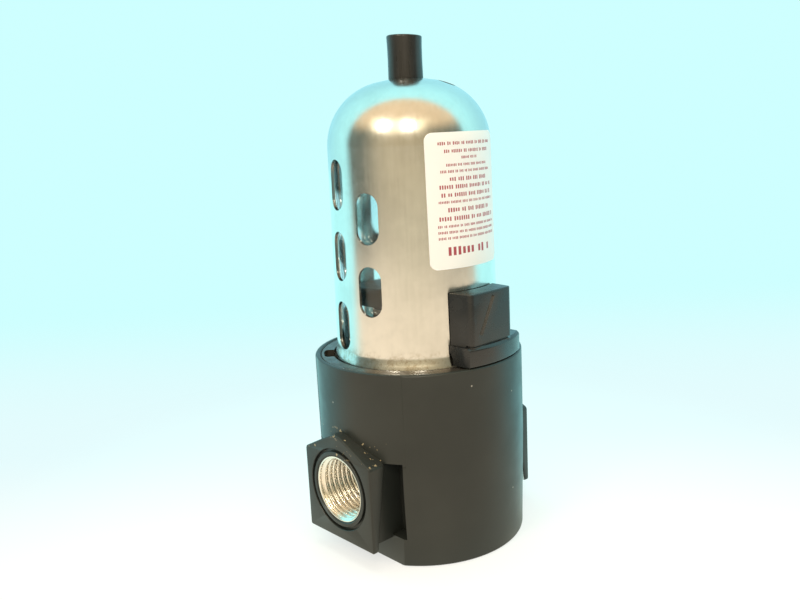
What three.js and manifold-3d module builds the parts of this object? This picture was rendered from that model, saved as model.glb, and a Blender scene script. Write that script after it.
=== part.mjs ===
// Compressed-air line filter with a metal bowl guard, standing head down.
// Units are millimetres. +Z points up from the head's flat face to the drain tip, the two ports lie
// on the X axis, and the label and the latch face -Y. The origin is the centre of the flat face.

import * as THREE from 'three';
import { mergeVertices } from 'three/addons/utils/BufferGeometryUtils.js';
import Module from 'manifold-3d';

const wasm = await Module();
wasm.setup();

// ---------------------------------------------------------------- driving dimensions

const gap = 0.3;                 // clearance between neighbouring pieces
const sheetGap = 0.15;           // clearance between parts stacked along the axis

const headRadius = 35;           // die-cast head, 2 3/4 in across
const headHeight = 63.3;
const headDraftRadius = 34.2;    // radius at the resting face
const overhangZ = 34.6;          // underside of the full round upper part
const footHeight = 9.3;          // height of the plate at the resting face
const flatX = 28.2;              // flats of that plate under each port
const pocketX = 23.5;            // wall of the pockets behind each flange
const pocketHalfWidth = 20.4;
const sideStep = 0.25;           // shallow step of the port sides above the pockets
const sideStepHalfAngle = 37.2;
const headEdge = 0.8;            // chamfer of the head's two rims

const portFaceX = 38.1;          // face to face 3 in
const portZ = 23.8;
const portDepth = 21;
const threadRadius = 10.6;       // thread root at the mouth, 1/2 in pipe thread
const threadHeight = 0.85;
const threadPitch = 1.814;
const threadTaper = 1 / 32;      // radius lost for each unit of depth
const threadTurns = 6;
const neckHalfWidth = 14;        // flat-sided neck between the pockets
const flangeHalfWidth = 16.2;
const flangeBottomZ = 6.7;
const flangeShoulderZ = 34.7;
const flangePeakZ = 42.4;
const flangeTopThickness = 6.2;
const flangeBottomThickness = 2;
const sealGrooveOuter = 13.6;
const sealGrooveInner = 12.5;
const sealGrooveDepth = 1.2;

const seatZ = 53.7;              // shoulder that the bowl's flange rests on
const lugGrooveRadius = 32.3;
const ringSeatZ = 60;
const ringRadius = 33;
const ringInnerRadius = 28.9;
const ringTopZ = 63;
const slotOuterRadius = 32;      // outer edge of the bayonet's entry slots
const slotHalfAngle = 8.5;
const entryTurn = 53;            // degrees from locked to the entry slots
const chamberRadius = 27;
const chamberFloorZ = 40;
const inletWindow = [13, 21, 8];  // nearest and farthest x, and half width, of the inlet's way up
const hubRadius = 12;
const hubTopZ = 49.7;
const corePassageRadius = 8;

const bowlRadius = 24.9;
const bowlWall = 2.5;
const bowlMouthZ = 44;
const bowlSpigotRadius = 26.6;
const bowlFlangeRadius = 28.4;
const bowlFlangeTopZ = 57;
const bowlTopZ = 147;
const bowlKnuckle = 17.8;
const bowlGroove = { radius: 25, bottom: 46.8, top: 49.2 };
const bowlSealRadius = 0.85;
const drainHole = 4.3;

const guardFootZ = 57.3;
const guardFootRadius = 28.4;
const guardBaseRadius = 27.2;
const guardBaseZ = 66.5;
const guardRadius = 26.5;        // where the dome starts
const guardWall = 1;
const domeZ = 130.8;
const domeKnuckle = 20.5;
const domeArc = 80;              // degrees of the knuckle before the flatter crown
const drainHoleRadius = 6.1;
const lugRadius = 31.7;
const lugHalfAngle = 7;
const lugTopZ = 59.8;

const slotHalfWidth = 4.2;
const slotHalfHeight = 7.95;
const slotPitchZ = 22.6;
const slotPitchAngle = 30;
const firstSlotAngle = -75;
const slotColumns = 8;
const longColumnZ = 74.6;        // lowest slot of a column of three
const shortColumnZ = 87;         // lowest slot of a column of two
const ventRadius = 3;
const ventAxisRadius = 13.5;
const ventAngle = 30;

const labelBottomZ = 93.5;
const labelTopZ = 134.5;
const labelHalfWidth = 14.8;
const labelCorner = 2.5;
const labelLift = 0.12;
const labelThickness = 0.2;

const latchBottomZ = 63.6;
const latchStepZ = 69.7;
const latchTopZ = 86.2;
const latchBackHalf = 10.3;
const latchFrontHalf = 9.4;
const latchFaceY = -33.85;
const latchCorner = 1.6;
const latchBackY = -24;           // behind the guard's surface, which trims the block's back
const latchGrooveDepth = 0.5;
const ledgeRadius = 34.9;
const ledgeLeftX = -10.6;
const ledgeRightX = 17;
const slashTilt = 28;             // engraved mark on the face
const slashCentre = [-2.1, 78.9];
const slashHalfLength = 6.5;
const slashHalfWidth = 0.55;
const slashDepth = 0.7;
const channelBottomZ = 69;       // hollow in the latch for its guide and spring
const channelTopZ = 84.5;
const guideBottomZ = 76.2;
const guideTopZ = 82;
const rivetHeights = [77.7, 80.5];
const spring = { y: -29.7, bottom: 69.5, rise: 6.1, radius: 0.9, wire: 0.28, turns: 4.5 };

const stackZ = 50;               // underside of the deflector
const elementBottomZ = 54.5;
const elementTopZ = 79;
const elementRadius = 14.5;
const elementBore = 9;
const baffleBottomZ = 80.5;
const baffleTopZ = 87;
const baffleRadius = 20;
const studRadius = 2.4;
const studBottomZ = 6.3;
const studTopZ = 94;
const baffleNut = { corner: 5, height: 4.35 };

const tipBottomZ = 151.4;
const tipTopZ = 165.3;
const tipBottomRadius = 5.64;
const tipTopRadius = 5.78;
const tipBore = 2.7;
const bushing = { bore: 2.8, flange: 6.5, barrel: 4, bottom: 141.8, seat: 143.15, top: 148.9 };
const drainGasket = { outer: 6.8, bottom: 143.3, top: 144.35 };
const drainNut = { corner: 7, bottom: 147.15, top: 148.85 };
const drainRod = { head: 4.6, bottom: 137.5, seat: 140.2, top: 163.5 };
const drainSeal = { bottom: 140.35, top: 141.65 };

const fine = 36;                 // segments round the large turned pieces
const hidden = 30;               // segments round the bowl and the element stack
const coarse = 20;               // segments round the small ones
const arcSteps = 6;              // steps in a half circle or a knuckle

// ---------------------------------------------------------------- helpers

const radians = THREE.MathUtils.degToRad;

// Point at a radius and an angle counted from the front (-Y) towards +X.
function polar(radius, degrees) {
  return [radius * Math.sin(radians(degrees)), -radius * Math.cos(radians(degrees))];
}

// Closed three.js geometry to a solid, with shared corners merged and slivers on the axis dropped.
function solid(geometry) {
  const bare = geometry.index ? geometry.clone() : geometry;
  bare.deleteAttribute('normal');
  bare.deleteAttribute('uv');
  const merged = mergeVertices(bare, 1e-4);
  const position = merged.attributes.position.array;
  const corner = (i) => new THREE.Vector3().fromArray(position, 3 * i);
  const kept = [];
  let volume = 0;
  for (let i = 0; i < merged.index.count; i += 3) {
    const [a, b, c] = merged.index.array.slice(i, i + 3);
    if (a === b || b === c || c === a) continue;
    kept.push([a, b, c]);
    volume += corner(a).dot(corner(b).cross(corner(c)));
  }
  const triangles = kept.flatMap(([a, b, c]) => (volume > 0 ? [a, b, c] : [a, c, b]));
  return new wasm.Manifold(new wasm.Mesh({
    numProp: 3,
    vertProperties: new Float32Array(position),
    triVerts: new Uint32Array(triangles),
  }));
}

// Solid turned about Z from a closed profile of [radius, z] points.
function turned(profile, segments = coarse) {
  const points = profile.map(([radius, z]) => new THREE.Vector2(radius, z));
  const closes = profile[0][0] === 0 && profile[profile.length - 1][0] === 0;
  if (!closes) points.push(points[0].clone());
  const geometry = new THREE.LatheGeometry(points, segments);
  geometry.rotateX(Math.PI / 2);
  return solid(geometry);
}

// Ring or disc with a rectangular section.
function ring(inner, outer, bottom, top, segments = coarse) {
  return turned([[inner, bottom], [outer, bottom], [outer, top], [inner, top]], segments);
}

// Block between two corners.
function block(x0, x1, y0, y1, z0, z1) {
  const geometry = new THREE.BoxGeometry(x1 - x0, y1 - y0, z1 - z0);
  geometry.translate((x0 + x1) / 2, (y0 + y1) / 2, (z0 + z1) / 2);
  return solid(geometry);
}

// Prism standing on an outline drawn in X and Y.
function standing(shape, bottom, top) {
  const options = { depth: top - bottom, bevelEnabled: false, curveSegments: arcSteps };
  const geometry = new THREE.ExtrudeGeometry(shape, options);
  geometry.translate(0, 0, bottom);
  return solid(geometry);
}

// Prism whose outline is drawn in X and Z, from y = -outer to y = -inner, turned about Z.
function radial(shape, inner, outer, degrees = 0) {
  const options = { depth: outer - inner, bevelEnabled: false, curveSegments: arcSteps };
  const geometry = new THREE.ExtrudeGeometry(shape, options);
  geometry.rotateX(Math.PI / 2);
  geometry.translate(0, -inner, 0);
  geometry.rotateZ(radians(degrees));
  return solid(geometry);
}

// Bar of round section along Y, from y = -inner to y = -outer.
function pin(radius, x, z, inner, outer) {
  const shape = new THREE.Shape();
  shape.absarc(x, z, radius, 0, 2 * Math.PI, false);
  return radial(shape, inner, outer);
}

// Part of a ring between two angles, with parallel top and bottom.
function sector(inner, outer, from, to, bottom, top) {
  const steps = 8;
  const shape = new THREE.Shape();
  shape.moveTo(...polar(inner, from));
  for (let i = 0; i <= steps; i += 1) shape.lineTo(...polar(outer, from + ((to - from) * i) / steps));
  for (let i = steps; i > 0; i -= 1) shape.lineTo(...polar(inner, from + ((to - from) * i) / steps));
  return standing(shape, bottom, top);
}

function union(parts) {
  return parts.reduce((sum, part) => sum.add(part));
}

function cut(body, tools) {
  return tools.reduce((rest, tool) => rest.subtract(tool), body);
}

function material(color, roughness, metalness, opacity = 1) {
  return new THREE.MeshStandardMaterial({ color, roughness, metalness, opacity, transparent: opacity < 1 });
}

function piece(name, manifold, look) {
  const { vertProperties, triVerts } = manifold.getMesh();
  const geometry = new THREE.BufferGeometry();
  geometry.setAttribute('position', new THREE.BufferAttribute(vertProperties, 3));
  geometry.setIndex(new THREE.BufferAttribute(triVerts, 1));
  geometry.computeVertexNormals();
  const mesh = new THREE.Mesh(geometry, look);
  mesh.name = name;
  return mesh;
}

function group(...members) {
  const result = new THREE.Group();
  result.add(...members);
  return result;
}

// ---------------------------------------------------------------- looks

const blackPaint = () => material(0x2b2a28, 0.45, 0.1);
const blackRing = () => material(0x35332f, 0.35, 0.6);
const guardMetal = () => material(0xb4b2a8, 0.35, 0.9);
const clearPlastic = () => material(0xdfe8ea, 0.1, 0, 0.35);
const blackPlastic = () => material(0x191b1d, 0.3, 0);
const blackRubber = () => material(0x141414, 0.4, 0);
const greyElement = () => material(0xa8a49a, 0.9, 0);
const steel = () => material(0xb8bcc0, 0.3, 1);
const brass = () => material(0xb39256, 0.35, 1);
const whitePaper = () => material(0xf4f2ee, 0.6, 0);

// ---------------------------------------------------------------- head

// House-shaped flange with a rounded peak; its back face slopes, so it is thickest at the peak.
function flange() {
  const slope = (flangeTopThickness - flangeBottomThickness) / (flangeShoulderZ - flangeBottomZ);
  const wedge = new THREE.Shape();
  wedge.moveTo(portFaceX, flangeBottomZ);
  wedge.lineTo(portFaceX, flangePeakZ);
  wedge.lineTo(portFaceX - flangeBottomThickness - slope * (flangePeakZ - flangeBottomZ), flangePeakZ);
  wedge.lineTo(portFaceX - flangeBottomThickness, flangeBottomZ);
  const side = radial(wedge, -flangeHalfWidth, flangeHalfWidth);
  const house = new THREE.Shape();
  const peakHalf = 4;
  const peakDrop = (peakHalf / flangeHalfWidth) * (flangePeakZ - flangeShoulderZ);
  house.moveTo(-flangeHalfWidth, flangeBottomZ);
  house.lineTo(flangeHalfWidth, flangeBottomZ);
  house.lineTo(flangeHalfWidth, flangeShoulderZ);
  house.lineTo(peakHalf, flangePeakZ - peakDrop);
  house.quadraticCurveTo(0, flangePeakZ, -peakHalf, flangePeakZ - peakDrop);
  house.lineTo(-flangeHalfWidth, flangeShoulderZ);
  return side.intersect(radial(house, 0, portFaceX + 1, 90));
}

// Turned shape along +X at the height of the ports, from a profile of [radius, x] points.
function alongPort(profile, segments) {
  return turned(profile, segments).rotate([0, 90, 0]).translate([0, 0, portZ]);
}

function portBore() {
  const profile = [[0, portFaceX - portDepth], [threadRadius - portDepth * threadTaper - threadHeight,
    portFaceX - portDepth]];
  for (let turn = threadTurns; turn >= 0; turn -= 1) {
    const depth = turn * threadPitch;
    const root = threadRadius - depth * threadTaper;
    profile.push([root - threadHeight, portFaceX - depth - threadPitch / 2]);
    profile.push([root, portFaceX - depth]);
  }
  profile.push([threadRadius, portFaceX + 1], [0, portFaceX + 1]);
  return alongPort(profile, 24);
}

function sealGroove() {
  const floor = portFaceX - sealGrooveDepth;
  return alongPort([[sealGrooveInner, floor], [sealGrooveOuter, floor], [sealGrooveOuter, portFaceX + 1],
    [sealGrooveInner, portFaceX + 1]], 24);
}

// Everything on the +X side of the head; the -X side is the same, turned half a turn.
function portSide(side) {
  const degrees = side > 0 ? 0 : 180;
  const turn = (part) => part.rotate([0, 0, degrees]);
  const reach = portFaceX + 2;
  const neck = block(pocketX - 1, portFaceX - 1, -neckHalfWidth, neckHalfWidth, footHeight - 1,
    overhangZ + 1);
  return {
    clear: [
      block(flatX, reach, -headRadius, headRadius, -1, overhangZ),
      block(pocketX, reach, -pocketHalfWidth, pocketHalfWidth, footHeight, overhangZ),
    ].map(turn),
    add: [neck, flange()].map(turn),
    bore: [portBore(), sealGroove()].map(turn),
  };
}

function headBody() {
  const outer = turned([[0, 0], [headDraftRadius - headEdge, 0], [headDraftRadius, headEdge],
    [headRadius, overhangZ], [headRadius, headHeight - headEdge],
    [headRadius - headEdge, headHeight], [0, headHeight]], 60);
  const sides = [portSide(1), portSide(-1)];
  const above = headHeight + 1;
  const steps = [90, -90].map((degrees) => sector(headRadius - sideStep, headRadius + 2,
    degrees - sideStepHalfAngle, degrees + sideStepHalfAngle, overhangZ - 1, above));
  const [windowNear, windowFar, windowHalf] = inletWindow;
  const cavity = [
    turned([[0, seatZ], [lugGrooveRadius, seatZ], [lugGrooveRadius, ringSeatZ], [ringRadius + 0.2, ringSeatZ],
      [ringRadius + 0.2, above], [0, above]], fine),
    ring(hubRadius, chamberRadius, chamberFloorZ, seatZ + 0.5, fine),
    turned([[0, hubTopZ], [hubRadius + 0.5, hubTopZ], [hubRadius + 0.5, seatZ + 0.5], [0, seatZ + 0.5]]),
    turned([[0, portZ - corePassageRadius], [corePassageRadius, portZ - corePassageRadius],
      [corePassageRadius, hubTopZ + 1], [0, hubTopZ + 1]]),
    alongPort([[0, 0], [corePassageRadius - 0.2, 0], [corePassageRadius - 0.2, portFaceX - portDepth + 1],
      [0, portFaceX - portDepth + 1]], coarse),
    block(-windowFar, -windowNear, -windowHalf, windowHalf, portZ, chamberFloorZ + 1),
    turned([[0, studBottomZ - gap], [studRadius + gap, studBottomZ - gap], [studRadius + gap, portZ],
      [0, portZ]], 16),
  ];
  let body = cut(outer, [...sides.flatMap((side) => side.clear), ...steps]);
  body = union([body, ...sides.flatMap((side) => side.add)]);
  return cut(body, [...sides.flatMap((side) => side.bore), ...cavity]);
}

// Ring that holds the guard's lugs down. Entry slots pass the lugs; the slots straight above the
// locked lugs stand in for the turn that the real bayonet needs before it lifts.
function bayonetRing() {
  const body = ring(ringInnerRadius, ringRadius, ringSeatZ + sheetGap, ringTopZ, fine);
  const slot = (degrees) => sector(ringInnerRadius - 1, slotOuterRadius, degrees - slotHalfAngle,
    degrees + slotHalfAngle, ringSeatZ - 1, ringTopZ + 1);
  return cut(body, [0, 180, entryTurn, entryTurn + 180].map(slot));
}

const headGroup = group(
  piece('head_body', headBody(), blackPaint()),
  piece('bayonet_ring', bayonetRing(), blackRing()),
);

// ---------------------------------------------------------------- element stack

function deflector() {
  const plate = ring(corePassageRadius, 21.5, stackZ, stackZ + 3, hidden);
  const vanes = 12;
  const louvre = block(14.5, 20, -1.1, 1.1, stackZ - 3, stackZ + 6);
  const tools = Array.from({ length: vanes }, (_, i) => louvre
    .translate([0, 0, -stackZ - 1.5]).rotate([35, 0, 0]).translate([0, 0, stackZ + 1.5])
    .rotate([0, 0, (360 / vanes) * i]));
  return cut(plate, tools);
}

function baffle() {
  const hub = elementRadius;
  const skirt = 1.4;
  return turned([[studRadius + gap, baffleBottomZ], [hub, baffleBottomZ], [hub, baffleTopZ - 2.5],
    [baffleRadius - skirt, baffleTopZ - 2.5], [baffleRadius - skirt, baffleBottomZ + 0.5],
    [baffleRadius, baffleBottomZ + 0.5], [baffleRadius, baffleTopZ - 1], [baffleRadius - 1, baffleTopZ],
    [studRadius + gap, baffleTopZ]], hidden);
}

// The filter element and its two flat seals share one section.
function elementRing(bottom, top) {
  return ring(elementBore, elementRadius, bottom, top, hidden);
}

// Hexagonal nut with a plain hole.
function hexNut(cornerRadius, hole, bottom, top) {
  return cut(ring(hole, cornerRadius, bottom, top, 24), Array.from({ length: 6 }, (_, i) => {
    const flat = cornerRadius * Math.cos(Math.PI / 6);
    return block(flat, cornerRadius + 1, -cornerRadius, cornerRadius, bottom - 1, top + 1)
      .rotate([0, 0, 60 * i]);
  }));
}

const stackGroup = group(
  piece('deflector', deflector(), blackPlastic()),
  piece('element_seal_lower', elementRing(stackZ + 3 + sheetGap, elementBottomZ - sheetGap), blackRubber()),
  piece('filter_element', elementRing(elementBottomZ, elementTopZ), greyElement()),
  piece('element_seal_upper', elementRing(elementTopZ + sheetGap, baffleBottomZ - sheetGap), blackRubber()),
  piece('baffle', baffle(), blackPlastic()),
  piece('centre_stud', turned([[0, studBottomZ], [studRadius, studBottomZ], [studRadius, studTopZ],
    [0, studTopZ]], 16), steel()),
  piece('baffle_nut', hexNut(baffleNut.corner, studRadius + gap, baffleTopZ + sheetGap,
    baffleTopZ + sheetGap + baffleNut.height), steel()),
);

// ---------------------------------------------------------------- bowl and drain

// Half profile of a domed wall: a knuckle arc about [centre, centreZ].
function arc(centre, centreZ, radius, from, to, steps) {
  return Array.from({ length: steps + 1 }, (_, i) => {
    const angle = radians(from + ((to - from) * i) / steps);
    return [centre + radius * Math.cos(angle), centreZ + radius * Math.sin(angle)];
  });
}

function bowl() {
  const centre = bowlRadius - bowlKnuckle;
  const centreZ = bowlTopZ - bowlKnuckle;
  const inner = bowlRadius - bowlWall;
  return turned([
    [inner + 1.5, bowlMouthZ], [bowlSpigotRadius, bowlMouthZ],
    [bowlSpigotRadius, bowlGroove.bottom], [bowlGroove.radius, bowlGroove.bottom],
    [bowlGroove.radius, bowlGroove.top], [bowlSpigotRadius, bowlGroove.top],
    [bowlSpigotRadius, seatZ + gap], [bowlFlangeRadius, seatZ + gap], [bowlFlangeRadius, bowlFlangeTopZ],
    [bowlRadius, bowlFlangeTopZ],
    ...arc(centre, centreZ, bowlKnuckle, 0, 90, arcSteps), [drainHole, bowlTopZ],
    [drainHole, bowlTopZ - bowlWall], ...arc(centre, centreZ, bowlKnuckle - bowlWall, 90, 0, arcSteps),
    [inner, seatZ], [inner + 1.5, seatZ - 4],
  ], hidden);
}

function bowlSeal() {
  const centre = bowlGroove.radius + sheetGap + bowlSealRadius;
  const section = arc(centre, (bowlGroove.bottom + bowlGroove.top) / 2, bowlSealRadius, 0, 300, 5);
  return turned(section, hidden);
}

function drainBushing() {
  return turned([[bushing.bore, bushing.bottom], [bushing.flange, bushing.bottom],
    [bushing.flange, bushing.seat], [bushing.barrel, bushing.seat], [bushing.barrel, bushing.top],
    [bushing.bore, bushing.top]]);
}

const bowlGroup = group(
  piece('bowl', bowl(), clearPlastic()),
  piece('bowl_o_ring', bowlSeal(), blackRubber()),
  piece('drain_bushing', drainBushing(), brass()),
  piece('drain_gasket', ring(drainHole, drainGasket.outer, drainGasket.bottom, drainGasket.top),
    blackRubber()),
  piece('drain_nut', hexNut(drainNut.corner, drainHole, drainNut.bottom, drainNut.top), steel()),
);

function drainTip() {
  const edge = 0.35;
  return turned([[tipBore, tipBottomZ], [tipBottomRadius, tipBottomZ], [tipTopRadius, tipTopZ - edge],
    [tipTopRadius - edge, tipTopZ], [tipBore + edge, tipTopZ], [tipBore, tipTopZ - edge]]);
}

// Valve rod with a head that seals on the bushing from inside the bowl.
function valveRod() {
  return turned([[0, drainRod.bottom], [drainRod.head, drainRod.bottom], [drainRod.head, drainRod.seat],
    [studRadius, drainRod.seat], [studRadius, drainRod.top], [0, drainRod.top]], 16);
}

const drainGroup = group(
  piece('drain_tip', drainTip(), blackRubber()),
  piece('drain_rod', valveRod(), brass()),
  piece('drain_seal', ring(studRadius + gap, drainRod.head, drainSeal.bottom, drainSeal.top), blackRubber()),
);

// ---------------------------------------------------------------- guard, label and latch

function slotShape() {
  const straight = slotHalfHeight - slotHalfWidth;
  const shape = new THREE.Shape();
  shape.absarc(0, straight, slotHalfWidth, 0, Math.PI, false);
  shape.absarc(0, -straight, slotHalfWidth, Math.PI, 2 * Math.PI, false);
  return shape;
}

// Columns of three and of two slots alternate round the sides and the back.
function guardSlots() {
  const cutters = [];
  for (let column = 0; column < slotColumns; column += 1) {
    const degrees = firstSlotAngle - slotPitchAngle * column;
    const short = column % 2 === 0;
    const count = short ? 2 : 3;
    for (let row = 0; row < count; row += 1) {
      const z = (short ? shortColumnZ : longColumnZ) + slotPitchZ * row;
      cutters.push(radial(slotShape(), 22, 30, degrees).translate([0, 0, z]));
    }
  }
  return cutters;
}

function guard() {
  const centre = guardRadius - domeKnuckle;
  const crown = (knuckle) => {
    const [radius, z] = arc(centre, domeZ, knuckle, domeArc, domeArc, 1)[0];
    return [drainHoleRadius, z + (radius - drainHoleRadius) * Math.tan(radians(90 - domeArc))];
  };
  const inside = domeKnuckle - guardWall;
  const shell = turned([
    [guardFootRadius - guardWall, guardFootZ], [guardFootRadius, guardFootZ], [guardFootRadius, 62.5],
    [guardBaseRadius, guardBaseZ],
    ...arc(centre, domeZ, domeKnuckle, 0, domeArc, arcSteps), crown(domeKnuckle),
    crown(inside), ...arc(centre, domeZ, inside, domeArc, 0, arcSteps),
    [guardBaseRadius - guardWall, guardBaseZ], [guardFootRadius - guardWall, 62.5],
  ], fine);
  const lugs = [0, 180].map((degrees) => sector(guardFootRadius - 0.5, lugRadius, degrees - lugHalfAngle,
    degrees + lugHalfAngle, guardFootZ, lugTopZ));
  const vent = new THREE.Shape();
  vent.absarc(...polar(ventAxisRadius, ventAngle), ventRadius, 0, 2 * Math.PI, false);
  const rivetHoles = rivetHeights.map((z) => pin(1, 0, z, 24, 30));
  const ventCut = standing(vent, domeZ, tipBottomZ + 1);
  return cut(union([shell, ...lugs]), [...guardSlots(), ventCut, ...rivetHoles]);
}

// Radius of the guard's outside between its base and its dome.
function guardOutside(z) {
  if (z > domeZ) return guardRadius - domeKnuckle + Math.sqrt(domeKnuckle ** 2 - (z - domeZ) ** 2);
  return guardBaseRadius + ((guardRadius - guardBaseRadius) * (z - guardBaseZ)) / (domeZ - guardBaseZ);
}

function label() {
  const heights = [labelBottomZ - 1, domeZ, (domeZ + labelTopZ) / 2, labelTopZ + 1];
  const inner = heights.map((z) => [guardOutside(z) + labelLift, z]);
  const outer = heights.map((z) => [guardOutside(z) + labelLift + labelThickness, z]).reverse();
  const w = labelHalfWidth;
  const c = labelCorner;
  const outline = new THREE.Shape();
  outline.moveTo(-w + c, labelBottomZ);
  outline.absarc(w - c, labelBottomZ + c, c, -Math.PI / 2, 0, false);
  outline.absarc(w - c, labelTopZ - c, c, 0, Math.PI / 2, false);
  outline.absarc(-w + c, labelTopZ - c, c, Math.PI / 2, Math.PI, false);
  outline.absarc(-w + c, labelBottomZ + c, c, Math.PI, 1.5 * Math.PI, false);
  return turned([...inner, ...outer], fine).intersect(radial(outline, 15, 30));
}

function rivet(z) {
  return union([pin(0.7, 0, z, 25.4, 30.6), pin(1.4, 0, z, 25.3, 25.75), pin(1.3, 0, z, 30.3, 30.8)]);
}

function latchGuide() {
  const body = union([
    block(-2, 2, -29.5, -27.4, guideBottomZ, guideTopZ),
    block(-3, 3, -30.9, -29.4, guideBottomZ, guideTopZ),
  ]);
  return cut(body, rivetHeights.flatMap((z) => [pin(1, 0, z, 26, 32), pin(1.6, 0, z, 30, 32)]));
}

function latchSlider() {
  const top = new THREE.Shape();
  top.moveTo(-latchBackHalf, latchBackY);
  top.lineTo(-latchFrontHalf, latchFaceY + latchCorner);
  top.quadraticCurveTo(-latchFrontHalf, latchFaceY, -latchFrontHalf + latchCorner, latchFaceY);
  top.lineTo(latchFrontHalf - latchCorner, latchFaceY);
  top.quadraticCurveTo(latchFrontHalf, latchFaceY, latchFrontHalf, latchFaceY + latchCorner);
  top.lineTo(latchBackHalf, latchBackY);
  const upper = standing(top, latchStepZ - 0.5, latchTopZ);
  const edge = 0.9;
  const back = -latchBackY;
  const collar = turned([[back, latchBottomZ], [ledgeRadius, latchBottomZ], [ledgeRadius, latchStepZ - edge],
    [ledgeRadius - edge, latchStepZ], [back, latchStepZ]], 60);
  const ends = new THREE.Shape();
  ends.moveTo(ledgeLeftX, -20);
  ends.lineTo(ledgeLeftX, -30);
  ends.lineTo(ledgeLeftX + 1.2, -36);
  ends.lineTo(ledgeRightX, -36);
  ends.lineTo(ledgeRightX, -20);
  const ledge = collar.intersect(standing(ends, latchBottomZ - 1, latchStepZ + 1));
  const footClear = guardFootRadius + 0.4;
  const inside = union([
    turned([[0, latchBottomZ - 1], [footClear, latchBottomZ - 1], [footClear, 65.5],
      [guardBaseRadius + gap, guardBaseZ + 1.5], [guardBaseRadius + gap, latchTopZ + 1],
      [0, latchTopZ + 1]], fine),
    block(-2.4, 2.4, -29.2, -26, channelBottomZ, channelTopZ),
    block(-3.4, 3.4, -31.2, -29.1, channelBottomZ, channelTopZ),
  ]);
  const mark = block(-slashHalfWidth, slashHalfWidth, latchFaceY - 1, latchFaceY + slashDepth,
    -slashHalfLength, slashHalfLength).rotate([0, slashTilt, 0])
    .translate([slashCentre[0], 0, slashCentre[1]]);
  const groove = cut(block(-12, 12, -36, -20, latchStepZ, latchStepZ + 0.7),
    [standing(grooveFloor(), latchStepZ - 1, latchStepZ + 2)]);
  return cut(union([upper, ledge]), [inside, mark, groove]);
}

// The block's outline drawn in by the depth of the groove at its foot.
function grooveFloor() {
  const depth = latchGrooveDepth;
  const shape = new THREE.Shape();
  shape.moveTo(-latchBackHalf + depth, -20);
  shape.lineTo(-latchBackHalf + depth, latchBackY);
  shape.lineTo(-latchFrontHalf + depth, latchFaceY + 1);
  shape.lineTo(-latchFrontHalf + 2 * depth, latchFaceY + depth);
  shape.lineTo(latchFrontHalf - 2 * depth, latchFaceY + depth);
  shape.lineTo(latchFrontHalf - depth, latchFaceY + 1);
  shape.lineTo(latchBackHalf - depth, latchBackY);
  shape.lineTo(latchBackHalf - depth, -20);
  return shape;
}

// Helical spring between the latch's shelf and the underside of its guide.
class Helix extends THREE.Curve {
  getPoint(t) {
    const angle = 2 * Math.PI * spring.turns * t;
    const x = spring.radius * Math.cos(angle);
    return new THREE.Vector3(x, spring.radius * Math.sin(angle), spring.rise * t);
  }
}

function latchSpring() {
  const wire = new THREE.Shape();
  wire.absarc(0, 0, spring.wire, 0, 2 * Math.PI, false);
  const geometry = new THREE.ExtrudeGeometry(wire, { steps: 36, curveSegments: 5, extrudePath: new Helix() });
  geometry.translate(0, spring.y, spring.bottom);
  return solid(geometry);
}

const latchGroup = group(piece('latch_slider', latchSlider(), blackPlastic()));

const guardGroup = group(
  piece('bowl_guard', guard(), guardMetal()),
  piece('label', label(), whitePaper()),
  piece('latch_guide', latchGuide(), steel()),
  piece('latch_rivet_lower', rivet(rivetHeights[0]), steel()),
  piece('latch_rivet_upper', rivet(rivetHeights[1]), steel()),
  piece('latch_spring', latchSpring(), steel()),
  latchGroup,
);

bowlGroup.add(drainGroup, guardGroup);

export default group(headGroup, stackGroup, bowlGroup);
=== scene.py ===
"""Looks of a compressed-air line filter that stands head down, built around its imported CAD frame.

Meshes are built in millimetres in the row's frame and scaled to metres once, in piece().
"""

import math
import random

import bmesh
import bpy
from mathutils import Matrix, Vector

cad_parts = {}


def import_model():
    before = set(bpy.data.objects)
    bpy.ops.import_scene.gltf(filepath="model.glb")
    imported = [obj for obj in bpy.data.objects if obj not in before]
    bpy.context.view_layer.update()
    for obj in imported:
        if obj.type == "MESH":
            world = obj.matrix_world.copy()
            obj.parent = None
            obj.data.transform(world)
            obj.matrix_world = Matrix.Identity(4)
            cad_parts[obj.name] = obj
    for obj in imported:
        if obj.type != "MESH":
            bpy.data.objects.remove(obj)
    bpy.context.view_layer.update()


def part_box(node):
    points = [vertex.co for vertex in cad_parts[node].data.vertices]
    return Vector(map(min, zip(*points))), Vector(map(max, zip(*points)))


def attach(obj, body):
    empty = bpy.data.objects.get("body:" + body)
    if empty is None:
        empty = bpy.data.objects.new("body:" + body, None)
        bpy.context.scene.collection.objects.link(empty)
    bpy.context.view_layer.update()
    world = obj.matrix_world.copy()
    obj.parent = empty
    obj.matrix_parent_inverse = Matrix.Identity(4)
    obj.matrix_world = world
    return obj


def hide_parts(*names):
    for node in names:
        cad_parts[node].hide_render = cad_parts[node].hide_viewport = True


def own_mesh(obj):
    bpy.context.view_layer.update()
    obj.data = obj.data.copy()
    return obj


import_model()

MM = 0.001
TAU = 2 * math.pi


def heights(node):
    """Lowest and highest z of a CAD node, in millimetres."""
    low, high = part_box(node)
    return (low / MM).z, (high / MM).z


# ---------------- driving dimensions, in millimetres

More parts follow.
